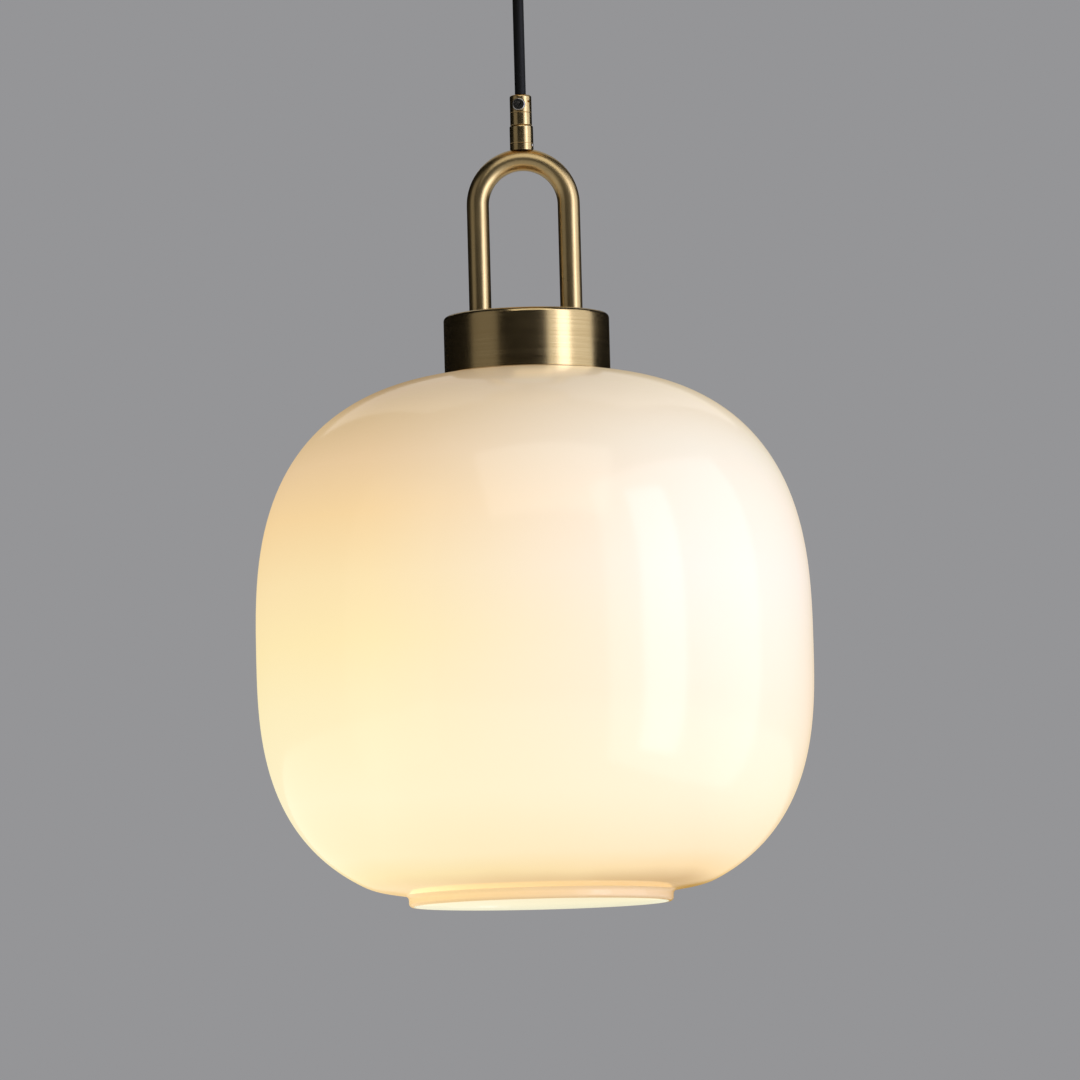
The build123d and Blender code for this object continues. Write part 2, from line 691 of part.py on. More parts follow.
def arc_middle(centre, start, end):
    """The point halfway round the shorter arc between two points."""
    centre, start, end = Vector(*centre), Vector(*start), Vector(*end)
    middle = centre + ((start + end) / 2 - centre).normalized() * (start - centre).length
    return middle.X, middle.Y


def handle_wire(side, y, route, radii):
    """Sweeps a wire from the saddle round the arch, down the leg on that side and along a route."""
    drop_end = (side * WIRE_X, level(ARCH_CENTRE) + turn_rise)
    arch_start = (side * turn_x * meet_share, level(ARCH_CENTRE) + turn_rise * meet_share)
    arch_end = (side * LEG_X, level(ARCH_CENTRE))
    turn_middle = arc_middle((side * turn_x, drop_end[1]), drop_end, arch_start)
    arch_middle = arc_middle((0, level(ARCH_CENTRE)), arch_start, arch_end)
    with BuildLine(Plane.XZ.offset(-y)) as path:
        Line((side * WIRE_X, level(345.0)), drop_end)
        ThreePointArc(drop_end, turn_middle, arch_start)
        ThreePointArc(arch_start, arch_middle, arch_end)
        FilletPolyline(arch_end, *route, radius=radii)
    with BuildSketch(path.line ^ 0) as section:
        Circle(WIRE_R)
    sweep(section.sketch, path=path.line)


def holder_route(side):
    """The route from a leg over the nipple's edge and down its bore to a terminal."""
    return [
        (side * LEG_X, level(252.8)),
        (side * WIRE_X, level(257.6)),
        (side * WIRE_X, level(TERMINAL_LEVEL)),
        (side * 10.0, level(TERMINAL_LEVEL)),
    ]


with BuildPart() as live_wire:
    handle_wire(1, 0, holder_route(1), [2.4, 2.4, 2.4])
finish(live_wire, "live_wire")

with BuildPart() as neutral_wire:
    handle_wire(-1, -PAIR_Y, holder_route(-1), [2.4, 2.4, 2.4])
finish(neutral_wire, "neutral_wire")

with BuildPart() as earth_wire:
    handle_wire(-1, PAIR_Y, [(-LEG_X, level(EARTH_TURN)), (-17.6, level(EARTH_TURN))], [2.0])
finish(earth_wire, "earth_wire")

# ---------------------------------------------------------------- bulb

with BuildPart() as bulb_contact:
    ring(0, 4.5, level(BULB_TIP - 1.5), level(BULB_TIP))
    fillet(bulb_contact.edges().group_by(Axis.Z)[-1], 0.8)
finish(bulb_contact, "bulb_contact")

with BuildPart() as bulb_insulator:
    turned(
        (0, level(SHELL_TOP - 1.5)),
        (SHELL_R - 1.15, level(SHELL_TOP - 1.5)),
        (SHELL_R - 1.15, level(SHELL_TOP)),
        (4.6, level(BULB_TIP - 1.5)),
        (0, level(BULB_TIP - 1.5)),
    )
finish(bulb_insulator, "bulb_insulator")

with BuildPart() as bulb_shell:
    turned(
        (SHELL_R - 1.1, level(SHELL_TOP)),
        (SHELL_R - 0.6, level(SHELL_TOP)),
        (SHELL_R, level(SHELL_TOP - 1.0)),
        (SHELL_R, level(SHELL_FOOT)),
        (SHELL_R - 0.5, level(SHELL_FOOT)),
        (SHELL_R - 0.5, level(SHELL_TOP - 2.0)),
        (SHELL_R - 1.1, level(SHELL_TOP - 2.0)),
    )
finish(bulb_shell, "bulb_shell")

globe_top_r = sqrt(GLOBE_R**2 - (GLOBE_TOP - GLOBE_CENTRE) ** 2)
with BuildPart() as bulb_housing:
    with BuildSketch(Plane.XZ):
        with BuildLine():
            neck = (SHELL_R - 0.55, level(SHELL_FOOT + 6))
            shoulder = (SHELL_R - 0.55, level(SHELL_FOOT - 0.2))
            flare = (SHELL_R + 0.6, level(SHELL_FOOT - 0.2))
            foot_out = (globe_top_r + 0.4, level(GLOBE_TOP))
            foot_in = (globe_top_r - 1.2, level(GLOBE_TOP))
            neck_in = (SHELL_R - 2.0, level(SHELL_FOOT - 2))
            neck_top = (SHELL_R - 2.0, level(SHELL_FOOT + 6))
            Polyline(neck, shoulder, flare)
            Spline(flare, foot_out, tangents=[(0.1, -1), (0.75, -1)])
            Line(foot_out, foot_in)
            Spline(foot_in, neck_in, tangents=[(-0.75, 1), (-0.1, 1)])
            Polyline(neck_in, neck_top, neck)
        make_face()
    revolve(axis=Axis.Z)
finish(bulb_housing, "bulb_housing")

with BuildPart() as bulb_globe:
    with Locations((0, 0, level(GLOBE_CENTRE))):
        Sphere(GLOBE_R)
        Sphere(GLOBE_R - 1.2, mode=Mode.SUBTRACT)
    split(bisect_by=Plane.XY.offset(level(GLOBE_TOP)), keep=Keep.BOTTOM)
finish(bulb_globe, "bulb_globe")

with BuildPart() as led_board:
    ring(0, 21.0, level(GLOBE_TOP) + 0.2, level(GLOBE_TOP) + 1.8)
finish(led_board, "led_board")

with BuildPart() as led_chips:
    with BuildSketch(Plane.XY.offset(level(GLOBE_TOP) + 0.2)):
        with PolarLocations(14.0, 12):
            Rectangle(3.5, 2.8)
    extrude(amount=-0.7)
finish(led_chips, "led_chips")

with BuildPart() as driver_board:
    with Locations((0, 0, level(GLOBE_TOP) + 2.2)):
        Box(14.0, 1.6, 30.0, align=(Align.CENTER, Align.CENTER, Align.MIN))
finish(driver_board, "driver_board")
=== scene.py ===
import json
from math import acos, cos, pi, radians, sin

import bpy
from mathutils import Matrix, Vector


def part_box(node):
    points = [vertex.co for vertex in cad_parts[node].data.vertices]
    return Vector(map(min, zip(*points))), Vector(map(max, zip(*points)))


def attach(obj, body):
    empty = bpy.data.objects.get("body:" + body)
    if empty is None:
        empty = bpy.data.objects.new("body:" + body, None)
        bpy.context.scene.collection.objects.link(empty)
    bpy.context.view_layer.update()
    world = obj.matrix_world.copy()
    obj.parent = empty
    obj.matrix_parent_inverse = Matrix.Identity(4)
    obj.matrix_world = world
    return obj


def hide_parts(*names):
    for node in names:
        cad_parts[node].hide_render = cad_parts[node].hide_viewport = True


# Looks of the pendant ceiling light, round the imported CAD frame. Metres, +Z up, origin on the ceiling.

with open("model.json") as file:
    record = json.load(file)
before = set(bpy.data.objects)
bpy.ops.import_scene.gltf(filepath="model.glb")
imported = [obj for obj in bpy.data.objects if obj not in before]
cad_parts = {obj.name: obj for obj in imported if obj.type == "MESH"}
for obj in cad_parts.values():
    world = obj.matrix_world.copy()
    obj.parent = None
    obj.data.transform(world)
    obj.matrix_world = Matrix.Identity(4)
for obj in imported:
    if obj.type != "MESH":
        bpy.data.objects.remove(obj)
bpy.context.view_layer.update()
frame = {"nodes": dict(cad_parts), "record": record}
nodes = frame["nodes"]
slot_of = {part["node"]: part["material_slot"] for part in frame["record"]["subparts"]}

RIM_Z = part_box("glass_shade")[0].z
CAP_TOP_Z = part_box("cap")[1].z
ARCH_TOP_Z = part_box("handle")[1].z
MM = 0.001


def level(height):
    """The z of a height in millimetres above the shade's rim."""
    return RIM_Z + height * MM


# ---------------------------------------------------------------- camera

CAMERA_LENS = 266.7
CAMERA_SENSOR = 36.0
CAMERA_REACH = 60.0
CAMERA_PLACE = Vector((3.6 * MM, -3.580, level(-156.0)))
CAMERA_PITCH = 5.1
CAMERA_ROLL = -1.5


def make_camera():
    """The camera in front of the lamp, below its rim, tilted up and a little rolled."""
    data = bpy.data.cameras.new("camera")
    data.sensor_width = CAMERA_SENSOR
    data.lens = CAMERA_LENS
    data.clip_end = CAMERA_REACH
    camera = bpy.data.objects.new("camera", data)
    bpy.context.collection.objects.link(camera)
    pitch = Matrix.Rotation(radians(90 + CAMERA_PITCH), 4, "X")
    roll = Matrix.Rotation(radians(CAMERA_ROLL), 4, "Z")
    camera.matrix_world = Matrix.Translation(CAMERA_PLACE) @ pitch @ roll
    bpy.context.scene.camera = camera
    bpy.context.scene.view_settings.view_transform = "Standard"
    bpy.context.scene.view_settings.look = "None"


make_camera()

# ---------------------------------------------------------------- cord

CORD_DIAMETER = 5.0 * MM
CORD_LEVELS = (350.0, 358.0, 366.0, 374.0, 382.0, 390.0, 398.0, 406.0, 414.0, 420.9)
CORD_SIDES = 72
CORD_RINGS = 420
BRAID_YARNS = 12
BRAID_ROW = 0.9 * MM
BRAID_DEPTH = 0.16 * MM


def braid(angle, z):
    """How far up a yarn stands there, from 0 in the gaps to 1 on the crossings."""
    turn = BRAID_YARNS / 2 * angle
    rise = pi * z / BRAID_ROW
    return max(abs(sin(turn + rise)), abs(sin(turn - rise)))


def make_cord():
    """The braided textile cord, drawn straight by the lamp's weight from the grip to the ceiling outlet."""
    route = [(0.0, 0.0, level(height)) for height in CORD_LEVELS]
    low, high = route[0][2], route[-1][2]
    sides, rings = CORD_SIDES, CORD_RINGS
    points = []
    for ring in range(rings + 1):
        z = low + (high - low) * ring / rings
        for side in range(sides):
            angle = 2 * pi * side / sides
            radius = CORD_DIAMETER / 2 - BRAID_DEPTH * (1 - braid(angle, z))
            points.append((radius * cos(angle), radius * sin(angle), z))
    faces = [tuple(range(sides))[::-1], tuple(range(rings * sides, (rings + 1) * sides))]
    for ring in range(rings):
        here, there = ring * sides, (ring + 1) * sides
        for side in range(sides):
            following = (side + 1) % sides
            faces.append((here + side, here + following, there + following, there + side))
    mesh = bpy.data.meshes.new("textile_cord")
    mesh.from_pydata(points, [], faces)
    for polygon in mesh.polygons:
        polygon.use_smooth = len(polygon.vertices) == 4
    cord = bpy.data.objects.new("textile_cord", mesh)
    bpy.context.collection.objects.link(cord)
    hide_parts("cord")
    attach(cord, "cord_and_grip")
    return cord


textile_cord = make_cord()

# ---------------------------------------------------------------- node helpers


def new_material(name):
    """A Principled material, as (material, tree, shader)."""
    material = bpy.data.materials.new(name)
    material.use_nodes = True
    tree = material.node_tree
    tree.nodes.clear()
    output = tree.nodes.new("ShaderNodeOutputMaterial")
    shader = tree.nodes.new("ShaderNodeBsdfPrincipled")
    tree.links.new(shader.outputs[0], output.inputs[0])
    return material, tree, shader


def place(tree, stretch=(1.0, 1.0, 1.0)):
    """The piece's own coordinates in metres, stretched."""
    coords = tree.nodes.new("ShaderNodeTexCoord")
    mapping = tree.nodes.new("ShaderNodeMapping")
    mapping.inputs["Scale"].default_value = stretch
    tree.links.new(coords.outputs["Object"], mapping.inputs["Vector"])
    return mapping.outputs[0]


def axes(tree):
    """The x, y and z of the piece's own coordinates."""
    split = tree.nodes.new("ShaderNodeSeparateXYZ")
    tree.links.new(place(tree), split.inputs[0])
    return split.outputs


def noise(tree, stretch, detail=3.0, rough=0.55):
    """Noise with that many cells a metre along each axis."""
    texture = tree.nodes.new("ShaderNodeTexNoise")
    texture.inputs["Scale"].default_value = 1.0
    texture.inputs["Detail"].default_value = detail
    texture.inputs["Roughness"].default_value = rough
    tree.links.new(place(tree, stretch), texture.inputs["Vector"])
    return texture.outputs["Fac"]


def calc(tree, operation, *values):
    """A Math node on sockets or plain numbers."""
    node = tree.nodes.new("ShaderNodeMath")
    node.operation = operation
    for socket, value in zip(node.inputs, values):
        if isinstance(value, (int, float)):
            socket.default_value = value
        else:
            tree.links.new(value, socket)
    return node.outputs[0]


def spread(tree, value, low, high, to_low, to_high):
    """Maps value from low..high to to_low..to_high, clamped."""
    node = tree.nodes.new("ShaderNodeMapRange")
    tree.links.new(value, node.inputs["Value"])
    node.inputs["From Min"].default_value = low
    node.inputs["From Max"].default_value = high
    node.inputs["To Min"].default_value = to_low
    node.inputs["To Max"].default_value = to_high
    return node.outputs[0]


def ramp(tree, value, *stops):
    """A colour ramp of (position, (r, g, b)) stops."""
    node = tree.nodes.new("ShaderNodeValToRGB")
    tree.links.new(value, node.inputs[0])
    elements = node.color_ramp.elements
    while len(elements) < len(stops):
        elements.new(0.5)
    for element, (position, colour) in zip(elements, stops):
        element.position = position
        element.color = (*colour, 1.0)
    return node.outputs[0]


# Places of the colour sockets on a Mix node
MIX_FIRST, MIX_SECOND, MIX_RESULT = 6, 7, 2


def blended(tree, factor, first, second):
    """A mix of two colours, each a socket or an (r, g, b)."""
    node = tree.nodes.new("ShaderNodeMix")
    node.data_type = "RGBA"
    tree.links.new(factor, node.inputs["Factor"])
    for socket, colour in ((node.inputs[MIX_FIRST], first), (node.inputs[MIX_SECOND], second)):
        if isinstance(colour, tuple):
            socket.default_value = (*colour, 1.0)
        else:
            tree.links.new(colour, socket)
    return node.outputs[MIX_RESULT]


def bump(tree, shader, height, distance, strength=1.0):
    """Raises the shading of height by distance in metres."""
    node = tree.nodes.new("ShaderNodeBump")
    node.inputs["Strength"].default_value = strength
    node.inputs["Distance"].default_value = distance
    tree.links.new(height, node.inputs["Height"])
    tree.links.new(node.outputs[0], shader.inputs["Normal"])


# ---------------------------------------------------------------- materials


METAL_CLOUDS = (35.0, 35.0, 35.0)
CLOUD_SHADE = 0.6
SMUDGE = 0.05
MOULDED_CLOUDS = (60.0, 60.0, 60.0)


def metal(name, colour, shade, rough, stretch, depth):
    """Metal toned by brushing marks. stretch is their cells a metre, depth their depth in mm."""
    material, tree, shader = new_material(name)
    marks = noise(tree, stretch, 4.0, 0.65)
    clouds = noise(tree, METAL_CLOUDS, 2.0)
    toned = ramp(tree, marks, (0.3, shade), (0.62, colour))
    cloudy = blended(tree, spread(tree, clouds, 0.45, 0.75, 0.0, CLOUD_SHADE), toned, shade)
    tree.links.new(cloudy, shader.inputs["Base Color"])
    shader.inputs["Metallic"].default_value = 1.0
    gloss = spread(tree, marks, 0.25, 0.75, *rough)
    smudges = spread(tree, clouds, 0.4, 0.7, 0.0, SMUDGE)
    tree.links.new(calc(tree, "ADD", gloss, smudges), shader.inputs["Roughness"])
    bump(tree, shader, marks, depth * MM)
    return material


def moulded(name, colour, shade, rough, grain, depth, sheen=0.0):
    """Plastic, rubber or ceramic. grain is its cells a metre, depth their depth in mm."""
    material, tree, shader = new_material(name)
    fine = noise(tree, (grain,) * 3, 2.0)
    clouds = noise(tree, MOULDED_CLOUDS, 3.0)
    tree.links.new(ramp(tree, clouds, (0.35, shade), (0.65, colour)), shader.inputs["Base Color"])
    tree.links.new(spread(tree, fine, 0.3, 0.7, *rough), shader.inputs["Roughness"])
    shader.inputs["Sheen Weight"].default_value = sheen
    bump(tree, shader, fine, depth * MM)
    return material


FUZZ_CELLS = (12000.0, 12000.0, 5000.0)
FUZZ_DEPTH = 0.06 * MM
# Tones of the braid from the gaps between yarns to their crossings: painted shade in the gaps, lighter
# crossings.
WEAVE_SHADE_TONES = (
    (0.6, (0.002, 0.002, 0.002)),
    (0.9, (0.005, 0.005, 0.0055)),
    (1.0, (0.012, 0.012, 0.013)),
)


def textile(name):
    """A black braid, whose yarns are fine twisted threads, with painted shade in the gaps between them."""
    material, tree, shader = new_material(name)
    x, y, z = axes(tree)
    turn = calc(tree, "MULTIPLY", calc(tree, "ARCTAN2", y, x), BRAID_YARNS / 2)
    rise = calc(tree, "MULTIPLY", z, pi / BRAID_ROW)
    right = calc(tree, "ABSOLUTE", calc(tree, "SINE", calc(tree, "ADD", turn, rise)))
    left = calc(tree, "ABSOLUTE", calc(tree, "SINE", calc(tree, "SUBTRACT", turn, rise)))
    weave = calc(tree, "MAXIMUM", right, left)
    fuzz = noise(tree, FUZZ_CELLS, 3.0)
    tone = calc(tree, "ADD", weave, spread(tree, fuzz, 0.3, 0.7, -0.15, 0.15))
    tree.links.new(ramp(tree, tone, *WEAVE_SHADE_TONES), shader.inputs["Base Color"])
    tree.links.new(spread(tree, fuzz, 0.3, 0.7, 0.42, 0.62), shader.inputs["Roughness"])
    shader.inputs["Specular IOR Level"].default_value = 0.3
    bump(tree, shader, fuzz, FUZZ_DEPTH, 0.8)
    return material


STRIPE_ACROSS = 2600.0
STRIPE_ALONG = 900.0
EARTH_GREEN = (0.06, 0.24, 0.03)
EARTH_YELLOW = (0.75, 0.6, 0.03)


def striped_earth(name):
    """Green insulation with a yellow stripe along it."""
    material, tree, shader = new_material(name)
    x, _, z = axes(tree)
    across = calc(tree, "MULTIPLY", x, STRIPE_ACROSS)
    along = calc(tree, "MULTIPLY", z, STRIPE_ALONG)
    band = calc(tree, "SINE", calc(tree, "ADD", across, along))
    stripes = ramp(tree, band, (0.42, EARTH_GREEN), (0.55, EARTH_YELLOW))
    tree.links.new(stripes, shader.inputs["Base Color"])
    fine = noise(tree, (3000.0,) * 3)
    tree.links.new(spread(tree, fine, 0.3, 0.7, 0.32, 0.48), shader.inputs["Roughness"])
    bump(tree, shader, fine, 0.02 * MM)
    return material


# The lit glass's glow, as (height above the rim in mm, colour): the bulb's light through the glass,
# painted on as emitted colour, with painted shade at the collar's crease and towards the cap.
# LEFT_GLOW is outside, away from the key, painted brighter than RIGHT_GLOW outside, towards it,
# and INSIDE_GLOW is the inner wall, all round.
LEFT_GLOW = (
    (0.0, (0.88, 0.62, 0.30)),
    (6.0, (0.88, 0.62, 0.30)),
    (12.0, (0.94, 0.76, 0.40)),
    (20.0, (0.96, 0.83, 0.51)),
    (45.0, (0.97, 0.87, 0.57)),
    (85.0, (0.96, 0.83, 0.50)),
    (113.0, (0.96, 0.79, 0.43)),
    (140.0, (0.93, 0.73, 0.40)),
    (170.0, (0.88, 0.63, 0.32)),
    (195.0, (0.76, 0.54, 0.30)),
    (215.0, (0.60, 0.43, 0.23)),
    (232.0, (0.34, 0.22, 0.10)),
    (240.0, (0.28, 0.18, 0.09)),
)
RIGHT_GLOW = (
    (0.0, (0.46, 0.25, 0.03)),
    (6.0, (0.46, 0.25, 0.03)),
    (12.0, (0.80, 0.54, 0.20)),
    (20.0, (0.82, 0.60, 0.30)),
    (45.0, (0.77, 0.60, 0.33)),
    (85.0, (0.72, 0.55, 0.33)),
    (113.0, (0.69, 0.56, 0.37)),
    (140.0, (0.69, 0.57, 0.42)),
    (170.0, (0.68, 0.56, 0.39)),
    (195.0, (0.62, 0.53, 0.36)),
    (215.0, (0.60, 0.48, 0.29)),
    (232.0, (0.51, 0.40, 0.23)),
    (240.0, (0.45, 0.35, 0.20)),
)
INSIDE_GLOW = (
    (0.0, (0.79, 0.76, 0.55)),
    (20.0, (0.66, 0.54, 0.34)),
    (70.0, (0.50, 0.37, 0.20)),
    (140.0, (0.38, 0.26, 0.13)),
    (240.0, (0.16, 0.10, 0.05)),
)
GLOW_SPAN = 240.0
GLOW_BLEND = 70 * MM
GLOW_FLOW = 0.006
OPAL_CLOUDS = (14.0, 14.0, 20.0)
OPAL_CLOUD_TONE = 0.97
RIPPLES = (22.0, 22.0, 22.0)
RIPPLE_DEPTH = 0.25 * MM
GLASS_IOR = 1.5


def opal(name, glow, far_glow, white):
    """Glossy opal glass, lit from inside, its light painted on as emitted colour: by height, glow at low x
    and far_glow at high x.
    """
    material, tree, shader = new_material(name)
    x, _, height = axes(tree)
    share = spread(tree, height, level(0), level(GLOW_SPAN), 0.0, 1.0)
    clouds = noise(tree, OPAL_CLOUDS, 3.0, 0.5)
    flow = calc(tree, "ADD", share, spread(tree, clouds, 0.3, 0.7, -GLOW_FLOW, GLOW_FLOW))
    near = ramp(tree, flow, *[(h / GLOW_SPAN, colour) for h, colour in glow])
    far = ramp(tree, flow, *[(h / GLOW_SPAN, colour) for h, colour in far_glow])
    across = spread(tree, x, -GLOW_BLEND, GLOW_BLEND, 0.0, 1.0)
    tree.links.new(blended(tree, across, near, far), shader.inputs["Emission Color"])
    shader.inputs["Emission Strength"].default_value = 1.0
    toned = ramp(tree, clouds, (0.3, tuple(OPAL_CLOUD_TONE * c for c in white)), (0.7, white))
    tree.links.new(toned, shader.inputs["Base Color"])
    tree.links.new(spread(tree, clouds, 0.3, 0.7, 0.10, 0.15), shader.inputs["Roughness"])
    shader.inputs["IOR"].default_value = GLASS_IOR
    bump(tree, shader, noise(tree, RIPPLES, 1.0), RIPPLE_DEPTH, 0.4)
    return material


# The bulb's glow from its foot to its top, and its strength
BULB_GLOW = ((0.0, (1.0, 0.90, 0.70)), (0.7, (1.0, 0.86, 0.62)), (1.0, (0.9, 0.70, 0.46)))
BULB_STRENGTH = 1.2


def lamp_diffuser(name):
    """The bulb's frosted globe, lit."""
    material, tree, shader = new_material(name)
    height = axes(tree)[2]
    low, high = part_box("bulb_globe")
    share = spread(tree, height, low.z, high.z, 0.0, 1.0)
    tree.links.new(ramp(tree, share, *BULB_GLOW), shader.inputs["Emission Color"])
    shader.inputs["Emission Strength"].default_value = BULB_STRENGTH
    frost = noise(tree, (1500.0,) * 3, 2.0)
    speckle = ramp(tree, frost, (0.3, (0.86, 0.84, 0.78)), (0.7, (0.92, 0.9, 0.85)))
    tree.links.new(speckle, shader.inputs["Base Color"])
    tree.links.new(spread(tree, frost, 0.3, 0.7, 0.35, 0.5), shader.inputs["Roughness"])
    bump(tree, shader, frost, 0.02 * MM)
    return material


BRASS = (0.80, 0.60, 0.30)
BRASS_SHADE = (0.70, 0.50, 0.23)
ROUND_MARKS = (14.0, 14.0, 2600.0)
FINE_ROUND_MARKS = (60.0, 60.0, 7000.0)
ALL_MARKS = (2600.0, 2600.0, 2600.0)
STEEL = (0.62, 0.62, 0.63)
STEEL_SHADE = (0.50, 0.50, 0.52)
OPAL_WHITE = (0.80, 0.79, 0.77)
# The inner wall's white, darker than the outer: painted shade that holds down the light bounced about
# inside.
OPAL_INNER_SHADED_WHITE = (0.36, 0.35, 0.33)

# Each metal's colour, shaded colour, roughness range, cells of its marks a metre and their depth in mm
METALS = {
    "satin_brass": (BRASS, BRASS_SHADE, (0.26, 0.31), ALL_MARKS, 0.004),
    "round_brushed_brass": (BRASS, BRASS_SHADE, (0.18, 0.25), ROUND_MARKS, 0.009),
    "turned_brass": (BRASS, BRASS_SHADE, (0.18, 0.25), FINE_ROUND_MARKS, 0.003),
    "raw_brass": ((0.75, 0.57, 0.30), (0.62, 0.45, 0.22), (0.25, 0.4), ROUND_MARKS, 0.02),
    "zinc_steel": (STEEL, STEEL_SHADE, (0.3, 0.45), ALL_MARKS, 0.02),
    "steel_screw": ((0.56, 0.54, 0.51), (0.42, 0.41, 0.39), (0.14, 0.22), ALL_MARKS, 0.003),
    "nickel": ((0.72, 0.70, 0.66), (0.62, 0.60, 0.56), (0.16, 0.28), ROUND_MARKS, 0.01),
}

# Each moulded finish's colour, shaded colour, roughness range, grain cells a metre, depth in mm and sheen
MOULDED = {
    "white_plastic": ((0.82, 0.81, 0.78), (0.76, 0.75, 0.71), (0.35, 0.5), 2500.0, 0.02),
    "black_plastic": ((0.022, 0.022, 0.023), (0.014, 0.014, 0.015), (0.35, 0.55), 2500.0, 0.03),
    "ceramic": ((0.8, 0.78, 0.73), (0.72, 0.69, 0.63), (0.4, 0.6), 1800.0, 0.03),
    "silicone": ((0.7, 0.7, 0.67), (0.62, 0.62, 0.6), (0.5, 0.65), 2000.0, 0.03, 0.1),
    "board": ((0.75, 0.78, 0.74), (0.66, 0.7, 0.66), (0.3, 0.45), 1200.0, 0.02),
    "led_yellow": ((0.9, 0.68, 0.12), (0.8, 0.58, 0.09), (0.3, 0.45), 3000.0, 0.02),
    "brown_wire": ((0.16, 0.06, 0.025), (0.12, 0.045, 0.02), (0.32, 0.48), 3000.0, 0.02),
    "blue_wire": ((0.03, 0.12, 0.45), (0.025, 0.09, 0.36), (0.32, 0.48), 3000.0, 0.02),
}

materials = {name: metal(name, *settings) for name, settings in METALS.items()}
materials.update({name: moulded(name, *settings) for name, settings in MOULDED.items()})
materials["earth_wire"] = striped_earth("earth_wire")
materials["black_cord"] = textile("black_cord")
materials["bulb_diffuser"] = lamp_diffuser("bulb_diffuser")
materials["opal_glass"] = opal("opal_glass", LEFT_GLOW, RIGHT_GLOW, OPAL_WHITE)
opal_inside = opal("opal_glass_inside", INSIDE_GLOW, INSIDE_GLOW, OPAL_INNER_SHADED_WHITE)

# ---------------------------------------------------------------- mesh helpers

SHARP_ANGLE = radians(40)


def add_piece(name, points, faces, slots, body, replaced):
    """Makes a mesh piece from points and (corners, material index) faces."""
    mesh = bpy.data.meshes.new(name)
    mesh.from_pydata(points, [], [corners for corners, _ in faces])
    for polygon, (_, index) in zip(mesh.polygons, faces):
        polygon.material_index = index
        polygon.use_smooth = True
    mesh.set_sharp_from_angle(angle=SHARP_ANGLE)
    for material in slots:
        mesh.materials.append(material)
    piece = bpy.data.objects.new(name, mesh)
    bpy.context.collection.objects.link(piece)
    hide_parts(*replaced)
    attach(piece, body)
    return piece


def lathe(outline, segments, index_of=lambda i: 0):
    """Points and faces of a closed outline of (radius, z), turned about the axis."""
    points = []
    faces = []
    count = len(outline)
    for step in range(segments):
        angle = 2 * pi * step / segments
        points += [(r * cos(angle), r * sin(angle), z) for r, z in outline]
    for step in range(segments):
        here, there = step * count, (step + 1) % segments * count
        for i in range(count):
            j = (i + 1) % count
            faces.append(((here + i, here + j, there + j, there + i), index_of(i)))
    return points, faces


# ---------------------------------------------------------------- glass shade

SHADE_R = 125.0
SHADE_WIDEST = 113.0
SHADE_RISE = 127.0
SHADE_FALL = 116.2
SHADE_EXPONENT = 2.79
SHADE_WALL = 3.0
SHADE_HOLE_R = 21.0
SHADE_LOW_R = 80.0
COLLAR_R = 59.2
COLLAR_BORE_R = 55.6
COLLAR_TOP = 5.3
COLLAR_BEND_R = 2.4
COLLAR_SLOPE = 0.18
RIM_ROUND = 1.6
BORE_TOP = 4.5
KNEE_OUT = 2.2
KNEE_LEVEL = 7.6
KNEE_MIDDLE_OUT = 0.6
KNEE_MIDDLE_LEVEL = 6.4
BOWL_STEPS = 40
OUTER_EASE_STEPS = 10
INNER_EASE_STEPS = 8
BEND_STEPS = 7
RIM_STEPS = 6
SHADE_SEGMENTS = 256


def bowl(inset, top_r, low_r, steps):
    """(radius, height) points down the bowl's wall, from the top hole to the straight underside."""
    power = 2 / SHADE_EXPONENT
    outer = SHADE_R - inset
    top_angle = acos((top_r / outer) ** (1 / power))
    low_angle = acos((low_r / outer) ** (1 / power))
    points = []
    for i in range(steps + 1):
        angle = top_angle * (1 - i / steps)
        height = SHADE_WIDEST + (SHADE_RISE - inset) * sin(angle) ** power
        points.append((outer * cos(angle) ** power, height))
    for i in range(1, steps + 1):
        angle = low_angle * i / steps
        height = SHADE_WIDEST - (SHADE_FALL - inset) * sin(angle) ** power
        points.append((outer * cos(angle) ** power, height))
    return points


def eased(start, start_slope, end, end_slope, steps):
    """Points between two (radius, height) ends on a cubic with those slopes, ends left out."""
    width = end[0] - start[0]
    points = []
    for i in range(1, steps):
        t = i / steps
        height = (
            (2 * t**3 - 3 * t**2 + 1) * start[1]
            + (t**3 - 2 * t**2 + t) * start_slope * width
            + (3 * t**2 - 2 * t**3) * end[1]
            + (t**3 - t**2) * end_slope * width
        )
        points.append((start[0] + t * width, height))
    return points


def arc(centre, radius, start, end, steps):
    """Points on an arc between two angles in degrees."""
    angles = [radians(start + (end - start) * i / steps) for i in range(steps + 1)]
    return [(centre[0] + radius * cos(a), centre[1] + radius * sin(a)) for a in angles]


def slope_at_end(points):
    """The rise over the run between the last two points."""
    return (points[-1][1] - points[-2][1]) / (points[-1][0] - points[-2][0])


